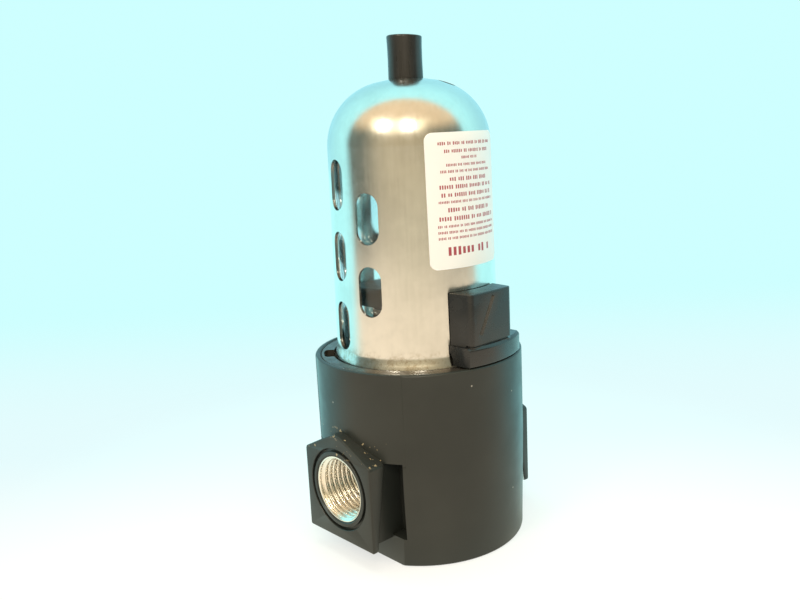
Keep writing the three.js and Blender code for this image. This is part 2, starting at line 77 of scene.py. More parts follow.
# Outside of the head and its ports. The first line comes from the frame.
PORT_FACE, HEAD_RADIUS, HEAD_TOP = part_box("head_body")[1] / MM
DRAFT_RADIUS = HEAD_RADIUS - 0.8
OVERHANG_Z = 34.6
FOOT_TOP = 9.3
FLAT_X = 28.2
POCKET_X = 23.5
POCKET_HALF = 20.4
NECK_HALF = 14
SIDE_STEP = 0.25
SIDE_STEP_ANGLE = 37.2
PORT_Z = 23.8
PORT_DEPTH = 21
THREAD_ROOT = 10.6
THREAD_HEIGHT = 1.05
THREAD_PITCH = 1.814
THREAD_TAPER = 1 / 32
FLANGE_HALF = 16.2
FLANGE_BOTTOM = 6.7
FLANGE_SHOULDER = 34.7
FLANGE_PEAK = 42.9
FLANGE_TOP_THICK = 6.2
FLANGE_BOTTOM_THICK = 2.0

# Inside of the head, from the rim down, and the element stack that stands in it.
ENTRY_RADIUS = 32.3
RING_SEAT_RADIUS = 33.2
RING_SEAT_Z = 60
BOWL_STOP_Z = 53.7
SWIRL_RADIUS = 27
SWIRL_Z = 40
BOSS_RADIUS = 12
BOSS_TOP = 49.7
DUCT_RADIUS = 8
DUCT_Z = 15.8
INLET_INNER = 13
INLET_OUTER = 21
STUD_HOLE = 2.7
ELEMENT_RADIUS = 14.5
ELEMENT_HOLE = 9

# Guard, with its vent's radius and angle from the axis, its bayonet, and what is fixed to it.
DOME_Z = 130.8
DOME_KNUCKLE = 20.5
DOME_ARC = 80
GUARD_RADIUS = 26.5
GUARD_BASE_RADIUS = 27.2
GUARD_BASE_Z = 66.5
GUARD_FOOT_RADIUS = 28.4
GUARD_FOOT_Z = 61.8
GUARD_WALL = 1.0
GUARD_CENTRE = GUARD_RADIUS - DOME_KNUCKLE
VENT_RADIUS = 3.0
VENT_PLACE = (13.5, 30)
LUG_HALF_ANGLE = 7
ENTRY_HALF_ANGLE = 8.5
ENTRY_TURN = 53
LABEL_HALF = 15.6
LABEL_CORNER = 2.5
RIVET_HEIGHTS = (77.7, 80.5)

# Latch: half widths of its block, its front face, and the ledge under it.
LATCH_BACK = 10.3
LATCH_FRONT = 9.4
LATCH_FACE = -33.85
LATCH_STEP_Z = 69.7
LEDGE_RADIUS = 34.9
LEDGE_LEFT = -10.6
LEDGE_RIGHT = 17.0
SPRING_Y = -29.7

# Holes in the bowl for the drain and in the drain for its rod.
DRAIN_HOLE = 4.3
ROD_HOLE = 2.7


# ---------------- mesh tools

SHARP_ANGLE = 32


def polar(radius, degrees):
    """Point at an angle counted from the front (-Y) towards +X."""
    return radius * math.sin(math.radians(degrees)), -radius * math.cos(math.radians(degrees))


def rounded(points, steps=4, closed=True):
    """Outline whose points (a, b, setback) get a round corner that starts that far from the point."""
    result = []
    for i, point in enumerate(points):
        here = Vector(point[:2])
        setback = point[2] if len(point) > 2 else 0
        if setback == 0 or (not closed and i in (0, len(points) - 1)):
            result.append(tuple(here))
            continue
        before = Vector(points[i - 1][:2])
        after = Vector(points[(i + 1) % len(points)][:2])
        start = here + (before - here).normalized() * setback
        end = here + (after - here).normalized() * setback
        for k in range(steps + 1):
            t = k / steps
            result.append(tuple((1 - t) ** 2 * start + 2 * t * (1 - t) * here + t * t * end))
    return result


def arc(centre_r, centre_z, radius, start, end, steps):
    """Points of an arc in a turning profile; the angle is 0 outwards and 90 up."""
    angles = [math.radians(start + (end - start) * i / steps) for i in range(steps + 1)]
    return [(centre_r + radius * math.cos(a), centre_z + radius * math.sin(a)) for a in angles]


def to_mesh(bm):
    bmesh.ops.recalc_face_normals(bm, faces=bm.faces)
    mesh = bpy.data.meshes.new("work")
    bm.to_mesh(mesh)
    bm.free()
    return mesh


def lathe(profile, segments=96):
    """Mesh turned about Z. A profile from axis to axis is solid, any other closes on itself."""
    bm = bmesh.new()
    angles = [TAU * i / segments for i in range(segments)]
    rings = []
    for radius, z in profile:
        if radius == 0:
            rings.append([bm.verts.new((0, 0, z))])
        else:
            rings.append([bm.verts.new((radius * math.sin(a), -radius * math.cos(a), z)) for a in angles])
    pairs = list(zip(rings, rings[1:]))
    if profile[0][0] != 0 or profile[-1][0] != 0:
        pairs.append((rings[-1], rings[0]))
    for low, high in pairs:
        for i in range(segments):
            j = i + 1
            corners = [low[i % len(low)], low[j % len(low)], high[j % len(high)], high[i % len(high)]]
            face = list(dict.fromkeys(corners))
            if len(face) > 2:
                bm.faces.new(face)
    return to_mesh(bm)


def skinned(rings, capped=False):
    """Mesh through rings with the same number of points. Without caps its last ring joins its first."""
    bm = bmesh.new()
    rings = [[bm.verts.new(point) for point in ring] for ring in rings]
    if capped:
        bm.faces.new(rings[0][::-1])
        bm.faces.new(rings[-1])
    for low, high in zip(rings, rings[1:] if capped else rings[1:] + rings[:1]):
        for i in range(len(low)):
            j = (i + 1) % len(low)
            bm.faces.new((low[i], low[j], high[j], high[i]))
    return to_mesh(bm)


def loft(lower, upper):
    """Solid between two outlines with the same number of points."""
    return skinned([lower, upper], capped=True)


def rod(radius, low, high, segments):
    return lathe([(0, low), (radius, low), (radius, high), (0, high)], segments)


def prism(outline, low, high):
    """Solid that stands on an outline in X and Y."""
    return loft([(x, y, low) for x, y in outline], [(x, y, high) for x, y in outline])


def block(x0, x1, y0, y1, z0, z1):
    return prism([(x0, y0), (x1, y0), (x1, y1), (x0, y1)], z0, z1)


def moved(mesh, matrix):
    mesh.transform(matrix)
    return mesh


def turn(degrees, axis="Z"):
    return Matrix.Rotation(math.radians(degrees), 4, axis)


def shift(x, y, z):
    return Matrix.Translation((x, y, z))


def outwards(outline, inner, outer, degrees=0):
    """Solid whose outline is in X and Z and which runs outwards along -Y, turned about Z."""
    mesh = loft([(x, -inner, z) for x, z in outline], [(x, -outer, z) for x, z in outline])
    return moved(mesh, turn(degrees))


def circle(radius, count, x=0.0, y=0.0):
    angles = [TAU * i / count for i in range(count)]
    return [(x + radius * math.cos(a), y + radius * math.sin(a)) for a in angles]


def ring(count, z, radius_at):
    """Ring of points about Z; radius_at is called with each point's share of the turn."""
    points = []
    for i in range(count):
        radius, angle = radius_at(i / count), TAU * i / count
        points.append((radius * math.cos(angle), radius * math.sin(angle), z))
    return points


def placed(name, data):
    """A new object in the scene."""
    thing = bpy.data.objects.new(name, data)
    bpy.context.collection.objects.link(thing)
    return thing


def joined(meshes):
    bm = bmesh.new()
    for mesh in meshes:
        bm.from_mesh(mesh)
    result = bpy.data.meshes.new("work")
    bm.to_mesh(result)
    bm.free()
    return result


def solved(mesh, modifiers):
    """The mesh after these modifiers, each (type, settings)."""
    work = placed("work", mesh)
    for kind, settings in modifiers:
        modifier = work.modifiers.new(kind, kind)
        for name, value in settings.items():
            setattr(modifier, name, value)
    depsgraph = bpy.context.evaluated_depsgraph_get()
    result = bpy.data.meshes.new_from_object(work.evaluated_get(depsgraph))
    bpy.data.objects.remove(work)
    return result


def combined(base, tools, operation):
    """Base with each tool mesh added ("UNION"), cut away ("DIFFERENCE") or kept in common ("INTERSECT")."""
    helpers = [placed("tool", tool) for tool in tools]
    steps = [("BOOLEAN", {"operation": operation, "object": helper, "solver": "EXACT"}) for helper in helpers]
    result = solved(base, steps)
    for helper in helpers:
        bpy.data.objects.remove(helper)
    return result


def bevelled(mesh, width, segments=2, angle=35):
    return solved(mesh, [("BEVEL", {"width": width, "segments": segments, "limit_method": "ANGLE",
                                    "angle_limit": math.radians(angle), "use_clamp_overlap": False})])


def smooth_radial(mesh, slope_at, angle=12):
    """Gives a turned surface the exact normals of its profile, so that cuts leave no shading marks on it.

    slope_at(radius, z) is the profile's outward direction there, as (outwards, up). A face that leans more
    than angle away from it keeps its own normals.
    """
    mesh.shade_smooth()
    mesh.set_sharp_from_angle(angle=math.radians(SHARP_ANGLE))
    plain = [Vector(corner.vector) for corner in mesh.corner_normals]
    normals = []
    for polygon in mesh.polygons:
        for index, corner in zip(polygon.vertices, polygon.loop_indices):
            x, y, z = mesh.vertices[index].co
            radius = math.hypot(x, y)
            normal = plain[corner]
            if radius > 1e-6:
                out, up = slope_at(radius, z)
                exact = Vector((x / radius * out, y / radius * out, up)).normalized()
                for candidate in (exact, -exact):
                    if candidate.angle(polygon.normal) < math.radians(angle):
                        normal = candidate
            normals.append(normal)
    mesh.normals_split_custom_set(normals)
    return mesh


def piece(name, mesh, look, body, node=None, angle=SHARP_ANGLE, inner_look=None, shaded=False):
    """Makes a shown piece of the object from a mesh in millimetres.

    It stands for a CAD node if one is given. Faces with material index 1 get the inner look, where there is
    one. A shaded mesh already has its normals.
    """
    if not shaded:
        mesh.shade_smooth()
        mesh.set_sharp_from_angle(angle=math.radians(angle))
    mesh.transform(Matrix.Scale(MM, 4))
    mesh.name = name
    indices = [polygon.material_index if inner_look else 0 for polygon in mesh.polygons]
    mesh.materials.clear()
    mesh.materials.append(look.material)
    if inner_look:
        mesh.materials.append(inner_look.material)
    mesh.polygons.foreach_set("material_index", indices)
    thing = placed(name, mesh)
    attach(thing, body)
    if node:
        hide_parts(node)
    return thing


def fine(node, mesh, look, body, angle=SHARP_ANGLE):
    """Makes the detailed piece that stands for a CAD node and is named after it."""
    return piece(node + "_fine", mesh, look, body, node, angle)


# ---------------- material tools

class Graph:
    """Node graph of a material or a world, with short calls for its nodes."""

    def __init__(self, owner):
        owner.use_nodes = True
        self.nodes = owner.node_tree.nodes
        self.links = owner.node_tree.links

    def node(self, kind, inputs, output, **settings):
        """Output of a new node. Each of its inputs is given a socket, a number, a vector or a colour."""
        made = self.nodes.new("ShaderNode" + kind)
        for name, value in settings.items():
            setattr(made, name, value)
        for key, value in inputs.items():
            socket = made.inputs[key]
            if isinstance(value, bpy.types.NodeSocket):
                self.links.new(value, socket)
            else:
                socket.default_value = (*value, 1) if socket.type == "RGBA" else value
        return made.outputs[output]

    def ranged(self, value, low, high, to_low=0.0, to_high=1.0):
        """The value mapped from one range to another, held at its ends."""
        inputs = {"Value": value, "From Min": low, "From Max": high, "To Min": to_low, "To Max": to_high}
        return self.node("MapRange", inputs, "Result", interpolation_type="SMOOTHSTEP")

    def math(self, operation, first, second=0.0):
        return self.node("Math", {0: first, 1: second}, "Value", operation=operation)

    def product(self, first, *others):
        for other in others:
            first = self.math("MULTIPLY", first, other)
        return first

    def mixed(self, factor, first, second):
        """Mix of two colours, each a tuple or a socket."""
        return self.node("Mix", {"Factor": factor, 6: first, 7: second}, 2, data_type="RGBA")

    def dot(self, vector, direction):
        return self.node("VectorMath", {0: vector, 1: direction}, "Value", operation="DOT_PRODUCT")


class Look(Graph):
    """A material in the making. Its slot attribute holds the same name, unless slot is set after."""

    def __init__(self, name, color, roughness, metallic=0.0, **sockets):
        self.material = bpy.data.materials.new(name)
        super().__init__(self.material)
        self.slot = name
        self.shader = self.nodes["Principled BSDF"]
        self.shader.inputs["Base Color"].default_value = (*color, 1)
        self.shader.inputs["Roughness"].default_value = roughness
        self.shader.inputs["Metallic"].default_value = metallic
        for socket, value in sockets.items():
            self.shader.inputs[socket.replace("_", " ")].default_value = value
        self.place = self.node("TexCoord", {}, "Object")

    def stretched(self, x=1.0, y=1.0, z=1.0):
        return self.node("Mapping", {"Scale": (x, y, z), "Vector": self.place}, "Vector")

    def noise(self, scale, detail=3.0, roughness=0.5, vector=None):
        """Soft random value, mostly from 0.3 to 0.7. scale is in features for each metre."""
        inputs = {"Scale": scale, "Detail": detail, "Roughness": roughness, "Vector": vector or self.place}
        return self.node("TexNoise", inputs, "Fac")

    def spread(self, noise, low, high):
        """A noise brought from its usual range to another."""
        return self.ranged(noise, 0.3, 0.7, low, high)

    def spots(self, scale, commonness, radius, edge):
        """Round spots: 1 inside, 0 outside. scale is in cells for each metre, radius in cells."""
        distance = self.node("TexVoronoi", {"Scale": scale, "Vector": self.place}, "Distance")
        chosen = self.ranged(distance.node.outputs["Color"], 1 - commonness, 1 - commonness + 0.02)
        return self.product(chosen, self.ranged(distance, radius, radius + edge, 1.0, 0.0))

    def axis(self, name):
        return self.node("SeparateXYZ", {"Vector": self.place}, name)

    def color(self, socket):
        self.links.new(socket, self.shader.inputs["Base Color"])

    def roughness(self, socket):
        self.links.new(socket, self.shader.inputs["Roughness"])

    def bump(self, *heights):
        """Relief from (height socket, strength, depth in millimetres), laid over each other."""
        relief = None
        for height, strength, depth in heights:
            inputs = {"Height": height, "Strength": strength, "Distance": depth * MM}
            if relief:
                inputs["Normal"] = relief
            relief = self.node("Bump", inputs, "Normal")
        self.links.new(relief, self.shader.inputs["Normal"])


# ---------------- materials

# Where the flanges' sloping top edges have lost paint, and how far up the guard's foot is darkened by painted
# shade.
CHIPPED_LOW = 34.5
CHIPPED_HIGH = 43.5
CHIPPED_X = 30.5
FOOT_SHADE_LOW = 64.5
FOOT_SHADE_HIGH = 69.5


def black_paint():
    """Satin black paint on a die casting: faint orange peel, dust specks and chips down to the metal."""
    look = Look("black_paint", (0.022, 0.024, 0.022), 0.36, Specular_IOR_Level=0.4)
    look.slot = "head_paint"
    cloud = look.ranged(look.noise(28), 0.35, 0.7)
    base = look.mixed(cloud, (0.018, 0.021, 0.019), (0.026, 0.029, 0.026))
    spotted = look.mixed(look.spots(210, 0.20, 0.045, 0.030), base, (0.30, 0.28, 0.24))
    height = look.axis("Z")
    sideways = look.math("ABSOLUTE", look.axis("X"))
    chips = look.product(
        look.ranged(look.noise(620, 2, 0.6), 0.66, 0.69),
        look.ranged(height, CHIPPED_LOW * MM, (CHIPPED_LOW + 1) * MM),
        look.ranged(height, (CHIPPED_HIGH - 1) * MM, CHIPPED_HIGH * MM, 1.0, 0.0),
        look.ranged(sideways, CHIPPED_X * MM, (CHIPPED_X + 0.7) * MM),
    )
    look.color(look.mixed(chips, spotted, (0.42, 0.33, 0.20)))
    look.roughness(look.spread(look.noise(90, 4), 0.32, 0.42))
    look.bump((look.noise(1500, 2), 0.2, 0.02), (look.noise(320, 2), 0.15, 0.05))
    return look


def machined_alloy():
    look = Look("machined_alloy", (0.62, 0.61, 0.59), 0.3, 1.0)
    rings = look.noise(900, 2, vector=look.stretched(0.1, 0.1, 1))
    look.roughness(look.spread(rings, 0.24, 0.4))
    look.bump((rings, 0.3, 0.02))
    return look


def thread_metal():
    """Freshly tapped thread, bright with a straw tint."""
    look = Look("thread_metal", (0.84, 0.80, 0.72), 0.24, 1.0)
    look.color(look.mixed(look.noise(160), (0.78, 0.73, 0.64), (0.92, 0.90, 0.84)))
    look.roughness(look.spread(look.noise(700), 0.18, 0.32))
    look.bump((look.noise(1200, 2, vector=look.stretched(1, 0.15, 0.15)), 0.15, 0.02))
    return look


def ring_black():
    look = Look("ring_black", (0.045, 0.042, 0.038), 0.3, 0.35)
    look.color(look.mixed(look.noise(120), (0.035, 0.033, 0.030), (0.070, 0.064, 0.055)))
    look.roughness(look.spread(look.noise(400), 0.24, 0.4))
    look.bump((look.noise(1400, 2), 0.2, 0.02))
    return look


def guard_metal():
    """Drawn sheet: satin, with faint marks along the draw, clouding, small dark pits, and painted shade on
    its foot next to the head's rim.
    """
    look = Look("guard_metal", (0.70, 0.69, 0.66), 0.3, 1.0)
    streaks = look.noise(900, 4, 0.6, look.stretched(1, 1, 0.04))
    clouds = look.noise(45, 4, 0.6)
    mottle = look.noise(420, 4, 0.65)
    shade = look.math("ADD", look.product(streaks, 0.2), look.product(clouds, 0.8))
    base = look.mixed(look.ranged(shade, 0.35, 0.65), (0.65, 0.64, 0.61), (0.75, 0.74, 0.71))
    pitted = look.mixed(look.spots(260, 0.14, 0.03, 0.05), base, (0.24, 0.21, 0.17))
    # Painted shade and reflection: the foot's colour darkens towards the head's rim, standing in for the
    # rim's shadow and its dark reflection in the metal.
    low = look.ranged(look.axis("Z"), FOOT_SHADE_LOW * MM, FOOT_SHADE_HIGH * MM, 0.7, 0.0)
    foot_shade = look.product(low, look.ranged(look.noise(420, 5, 0.7), 0.45, 0.65))
    look.color(look.mixed(foot_shade, pitted, (0.42, 0.36, 0.27)))
    look.roughness(look.math("ADD", look.spread(streaks, 0.0, 0.03), look.spread(mottle, 0.17, 0.22)))
    look.bump((streaks, 0.06, 0.02), (mottle, 0.08, 0.03))
    return look


def clear_bowl():
    look = Look("clear_bowl", (0.93, 0.95, 0.95), 0.06, 0.0, Transmission_Weight=1.0, IOR=1.58)
    look.roughness(look.spread(look.noise(60), 0.03, 0.10))
    look.color(look.mixed(look.noise(25, 2), (0.90, 0.92, 0.91), (0.96, 0.97, 0.96)))
    return look


def moulded_black(name, roughness, grain):
    look = Look(name, (0.016, 0.017, 0.018), roughness)
    look.color(look.mixed(look.noise(70), (0.012, 0.013, 0.014), (0.022, 0.023, 0.024)))
    look.roughness(look.spread(look.noise(240), roughness - 0.05, roughness + 0.07))
    look.bump((look.noise(1300, 2), grain, 0.02), (look.noise(110, 2), 0.15, 0.06))
    return look


def drain_rubber():
    """Smooth black rubber with faint marks along its length."""
    look = Look("drain_rubber", (0.018, 0.018, 0.018), 0.3)
    along = look.noise(500, 3, 0.5, look.stretched(1, 1, 0.12))
    look.color(look.mixed(look.noise(130), (0.013, 0.013, 0.013), (0.028, 0.027, 0.026)))
    look.roughness(look.spread(along, 0.24, 0.42))
    look.bump((along, 0.25, 0.05), (look.noise(170, 2), 0.2, 0.12))
    return look


def seal_rubber():
    look = Look("seal_rubber", (0.02, 0.02, 0.02), 0.55)
    look.roughness(look.spread(look.noise(500), 0.45, 0.65))
    look.bump((look.noise(900, 2), 0.2, 0.03))
    return look


def plated(name, dark, light):
    look = Look(name, light, 0.25, 1.0)
    look.color(look.mixed(look.noise(200), dark, light))
    look.roughness(look.spread(look.noise(600), 0.18, 0.36))
    look.bump((look.noise(1500, 2), 0.12, 0.02))
    return look


def element_media():
    """Felted filter media: warm grey, matt and fibrous."""
    look = Look("element_media", (0.52, 0.50, 0.45), 0.9)
    fibre = look.noise(900, 5, 0.7)
    look.color(look.mixed(look.spread(fibre, 0.0, 1.0), (0.40, 0.38, 0.33), (0.62, 0.60, 0.54)))
    look.bump((fibre, 0.6, 0.15))
    return look


def label_paper():
    look = Look("label_paper", (0.86, 0.85, 0.83), 0.45)
    look.color(look.mixed(look.noise(60), (0.83, 0.82, 0.79), (0.90, 0.89, 0.87)))
    look.roughness(look.spread(look.noise(300), 0.38, 0.52))
    look.bump((look.noise(700), 0.08, 0.02))
    return look


def label_ink():
    look = Look("label_ink", (0.34, 0.05, 0.07), 0.5)
    look.color(look.mixed(look.noise(900), (0.30, 0.03, 0.05), (0.46, 0.10, 0.12)))
    return look


paint = black_paint()
alloy = machined_alloy()
thread_look = thread_metal()
ring_look = ring_black()
guard_look = guard_metal()
bowl_look = clear_bowl()
latch_look = moulded_black("latch_plastic", 0.26, 0.12)
black_plastic_and_vent_shade_look = moulded_black("black_plastic", 0.42, 0.25)
tip_look = drain_rubber()
rubber_look = seal_rubber()
steel_look = plated("plated_steel", (0.50, 0.51, 0.52), (0.68, 0.69, 0.70))
brass_look = plated("brass", (0.58, 0.42, 0.20), (0.78, 0.62, 0.34))
media_look = element_media()
paper_look = label_paper()
ink_look = label_ink()


# ---------------- head

def along_port(mesh, side):
    """Turns a mesh made about Z so that it lies about the port's axis, on the side given by 1 or -1."""
    return moved(mesh, turn(0 if side > 0 else 180) @ shift(0, 0, PORT_Z) @ turn(90, "Y"))


def port_flange(side):
    """House-shaped flange with a rounded peak. Its back slopes, so it is thickest at the top."""
    outline = rounded([
        (-FLANGE_HALF, FLANGE_BOTTOM, 0.8), (FLANGE_HALF, FLANGE_BOTTOM, 0.8),
        (FLANGE_HALF, FLANGE_SHOULDER, 0.9), (0, FLANGE_PEAK, 4.0), (-FLANGE_HALF, FLANGE_SHOULDER, 0.9),
    ], steps=6)
    slope = (FLANGE_TOP_THICK - FLANGE_BOTTOM_THICK) / (FLANGE_SHOULDER - FLANGE_BOTTOM)
    front = [(PORT_FACE, y, z) for y, z in outline]
    back = [(PORT_FACE - FLANGE_BOTTOM_THICK - slope * (z - FLANGE_BOTTOM), y, z) for y, z in outline]
    return moved(bevelled(loft(back, front), 0.45, 3, 50), turn(0 if side > 0 else 180))


def head_solid():
    """Outside of the head: its turned body, flats, pockets, necks and flanges."""
    body = lathe(rounded([
        (0, 0), (DRAFT_RADIUS, 0, 0.9), (HEAD_RADIUS, OVERHANG_Z), (HEAD_RADIUS, HEAD_TOP, 1.0),
        (0, HEAD_TOP),
    ], closed=False), 144)
    reach = PORT_FACE + 5
    wide = HEAD_RADIUS + 2
    flat = (FLAT_X, reach, -wide, wide, -1, OVERHANG_Z)
    body = combined(body, [moved(block(*flat), turn(side)) for side in (0, 180)], "DIFFERENCE")
    body = bevelled(body, 0.35, 3)
    lead_out = SIDE_STEP_ANGLE + 1.1
    step = [polar(HEAD_RADIUS - SIDE_STEP, 90 + SIDE_STEP_ANGLE * (i / 18 - 1)) for i in range(37)]
    step += [polar(HEAD_RADIUS + past, 90 + angle) for past, angle in
             ((0.02, lead_out), (3, lead_out), (12, 0), (3, -lead_out), (0.02, -lead_out))]
    clear = []
    added = []
    for side in (0, 180):
        pocket = block(POCKET_X, reach, -POCKET_HALF, POCKET_HALF, FOOT_TOP, OVERHANG_Z)
        neck = block(POCKET_X - 1, PORT_FACE - 1, -NECK_HALF, NECK_HALF, FOOT_TOP - 1, OVERHANG_Z + 1)
        clear += [moved(pocket, turn(side)), moved(prism(step, OVERHANG_Z - 1, HEAD_TOP + 1), turn(side))]
        added.append(moved(neck, turn(side)))
    body = combined(body, clear, "DIFFERENCE")
    return combined(body, added + [port_flange(side) for side in (1, -1)], "UNION")


def head_casting():
    cuts = []
    floor_x = PORT_FACE - PORT_DEPTH
    bore = THREAD_ROOT + 0.3
    groove_in, groove_out = 12.5, 13.6
    for side in (1, -1):
        port = [(0, floor_x), (bore, floor_x), (bore, PORT_FACE - 0.5), (bore + 1, PORT_FACE + 0.5),
                (0, PORT_FACE + 0.5)]
        groove = [(groove_in, PORT_FACE - 1.2), (groove_out, PORT_FACE - 1.2),
                  (groove_out, PORT_FACE - 0.15), (groove_out + 0.3, PORT_FACE + 0.15),
                  (groove_in - 0.3, PORT_FACE + 0.15), (groove_in, PORT_FACE - 0.15)]
        cuts += [along_port(lathe(port, 64), side), along_port(lathe(groove, 96), side)]
    top = HEAD_TOP + 1
    rim = [(0, BOWL_STOP_Z), (ENTRY_RADIUS, BOWL_STOP_Z), (ENTRY_RADIUS, RING_SEAT_Z),
           (RING_SEAT_RADIUS, RING_SEAT_Z), (RING_SEAT_RADIUS, HEAD_TOP - 0.4), (34.6, top), (0, top)]
    over = BOWL_STOP_Z + 0.5
    swirl = [(BOSS_RADIUS, SWIRL_Z), (SWIRL_RADIUS, SWIRL_Z), (SWIRL_RADIUS, over), (BOSS_RADIUS, over)]
    cuts += [
        lathe(rim, 144),
        lathe(swirl, 96),
        rod(BOSS_RADIUS + 0.5, BOSS_TOP, over, 64),
        rod(DUCT_RADIUS, DUCT_Z, BOSS_TOP + 1, 64),
        along_port(rod(DUCT_RADIUS - 0.2, 0, floor_x + 1, 48), 1),
        block(-INLET_OUTER, -INLET_INNER, -DUCT_RADIUS, DUCT_RADIUS, PORT_Z, SWIRL_Z + 1),
        rod(STUD_HOLE, 6, DUCT_Z + 1, 24),
    ]
    body = combined(head_solid(), cuts, "DIFFERENCE")
    for polygon in body.polygons:
        x, y, z = polygon.center
        inside = z > SWIRL_Z - 2 and math.hypot(x, y) < RING_SEAT_RADIUS + 0.05
        bored = math.hypot(y, z - PORT_Z) < bore + 0.05 and abs(x) < PORT_FACE - 0.45
        polygon.material_index = 1 if inside or bored else 0
    body = smooth_radial(body, lambda radius, z: (1, 0))
    piece("head_casting", body, paint, "head", "head_body", inner_look=alloy, shaded=True)


def port_thread(side):
    """Helical tapered thread in a port: a closed sleeve whose inside carries the thread."""
    steps, around, start = 12, 72, 0.35
    count = int((PORT_DEPTH - 4) / THREAD_PITCH * steps)

    def thread_row(depth):
        def radius_at(share):
            phase = (depth / THREAD_PITCH + side * share) % 1
            crest = min(max((1 - abs(2 * phase - 1) - 0.12) / 0.76, 0), 1)
            fade = min(1, depth / 1.2)
            return THREAD_ROOT - depth * THREAD_TAPER - THREAD_HEIGHT * crest * fade

        return ring(around, PORT_FACE - depth, radius_at)

    depths = [start + k * THREAD_PITCH / steps for k in range(count + 1)]
    rows = [thread_row(depth) for depth in depths]
    for depth in (depths[-1], start):
        rows.append(ring(around, PORT_FACE - depth, lambda share: THREAD_ROOT + 0.22))
    name = "outlet_thread" if side > 0 else "inlet_thread"
    piece(name, along_port(skinned(rows), side), thread_look, "head", angle=60)


def bayonet_ring():
    inner, outer = 28.9, 33
    bottom, top = heights("bayonet_ring")
    section = rounded([(inner, bottom, 0.2), (outer, bottom, 0.2), (outer, top, 0.35), (inner, top, 0.35)])
    entries = []
    half = ENTRY_HALF_ANGLE
    for degrees in (0, 180, ENTRY_TURN, 180 + ENTRY_TURN):
        shares = [i / 10 - 1 for i in range(21)]
        crescent = [polar(32 - 0.9 * abs(share) ** 6, degrees + half * share) for share in shares]
        ends = [polar(27.5, degrees + half), polar(27.5, degrees - half)]
        entries.append(prism(crescent + ends, bottom - 1, top + 1))
    fine("bayonet_ring", combined(lathe(section, 144), entries, "DIFFERENCE"), ring_look, "head")


# ---------------- element stack

def hex_nut(node, corner, hole, body):
    """Hexagonal nut whose corners are turned off at both faces."""
    low, high = heights(node)
    edge, chamfer = 0.12 * corner, 0.4
    turned = lathe([(0, low), (corner - edge, low), (corner, low + edge / 2), (corner, high - edge / 2),
                    (corner - edge, high), (0, high)], 72)
    nut = combined(turned, [prism(circle(corner, 6), low - 1, high + 1)], "INTERSECT")
    bore = lathe([(0, low - 1), (hole + chamfer, low - 1), (hole, low + chamfer), (hole, high - chamfer),
                  (hole + chamfer, high + 1), (0, high + 1)], 48)
    fine(node, combined(nut, [bore], "DIFFERENCE"), steel_look, body)


def centre_stud():
    """Rod with thread ridges."""
    low, high = heights("centre_stud")
    crest, pitch = 2.4, 0.8
    root = crest - 0.22
    points = [(0, low), (root, low)]
    for k in range(int((high - low) / pitch)):
        z = low + pitch * k
        points += [(root, z + 0.15 * pitch), (crest, z + 0.45 * pitch), (crest, z + 0.6 * pitch),
                   (root, z + 0.9 * pitch)]
    fine("centre_stud", lathe(points + [(root, high), (0, high)], 36), steel_look, "head", 60)


def deflector():
    low, high = heights("deflector")
    disc = lathe(rounded([(8, low, 0.3), (21.5, low, 0.4), (21.5, high, 0.4), (8, high, 0.3)]), 96)
    cuts = []
    for i in range(12):
        louvre = block(14.5, 20, -1.1, 1.1, -6, 6)
        cuts.append(moved(louvre, turn(30 * i) @ shift(0, 0, (low + high) / 2) @ turn(35, "X")))
    fine("deflector", combined(disc, cuts, "DIFFERENCE"), black_plastic_and_vent_shade_look, "head")


def pleated_element():
    """Pleated media between two flat ends."""
    folds, outer, inner, end = 48, ELEMENT_RADIUS, ELEMENT_HOLE, 0.8
    low, high = heights("filter_element")
    first, last = low + end + 0.4, high - end - 0.4

    def pleats(share):
        wave = 0.5 + 0.5 * math.cos(TAU * folds * share)
        return outer - 0.15 - 1.3 * (1 - wave) ** 1.5

    levels = [low, low + end] + [first + (last - first) * i / 12 for i in range(13)] + [high - end, high]
    rows = []
    for z in levels:
        flat = z <= low + end or z >= high - end
        rows.append(ring(6 * folds, z, (lambda share: outer - 0.1) if flat else pleats))
    rows += [ring(6 * folds, z, lambda share: inner) for z in (high, low)]
    piece("element_media", skinned(rows), media_look, "head", "filter_element", 50)


def baffle():
    low, high = heights("baffle")
    seat, under = ELEMENT_RADIUS, high - 2.5
    skirt, rim, skirt_z = 18.6, 20, low + 0.5
    profile = rounded([
        (STUD_HOLE, low), (seat, low, 0.4), (seat, under, 0.8), (skirt, under, 0.6), (skirt, skirt_z, 0.3),
        (rim, skirt_z, 0.3), (rim, high, 1.4), (9, high, 0.4), (8, high - 0.6, 0.4), (STUD_HOLE, high - 0.6),
    ])
    fine("baffle", lathe(profile, 96), black_plastic_and_vent_shade_look, "head")


def flat_seal(node, inner, outer, corner, segments, body):
    low, high = heights(node)
    corners = [(inner, low), (outer, low), (outer, high), (inner, high)]
    profile = rounded([(radius, z, corner) for radius, z in corners])
    fine(node, lathe(profile, segments), rubber_look, body)


# ---------------- bowl and drain

def clear_bowl_piece():
    """Clear bowl: an open foot with a groove for its seal, a collar that the head holds, and a domed end."""
    bottom, top = heights("bowl")
    knuckle, wall, radius = 17.8, 2.5, 24.9
    foot, collar, groove = 26.6, 28.4, 25
    centre, centre_z = radius - knuckle, top - knuckle
    inner = radius - wall
    profile = rounded([
        (inner + 1.5, bottom, 0.4), (foot, bottom, 0.6), (foot, 46.8, 0.2), (groove, 46.8, 0.3),
        (groove, 49.2, 0.3), (foot, 49.2, 0.2), (foot, 54, 0.3), (collar, 54, 0.5), (collar, 57, 0.5),
        (radius, 57, 0.6),
    ])
    profile += arc(centre, centre_z, knuckle, 0, 90, 20) + [(DRAIN_HOLE, top), (DRAIN_HOLE, top - wall)]
    profile += arc(centre, centre_z, knuckle - wall, 90, 0, 20)
    profile += [(inner, BOWL_STOP_Z), (inner + 1.5, 49.7)]
    piece("bowl_clear", lathe(profile, 128), bowl_look, "bowl", "bowl")


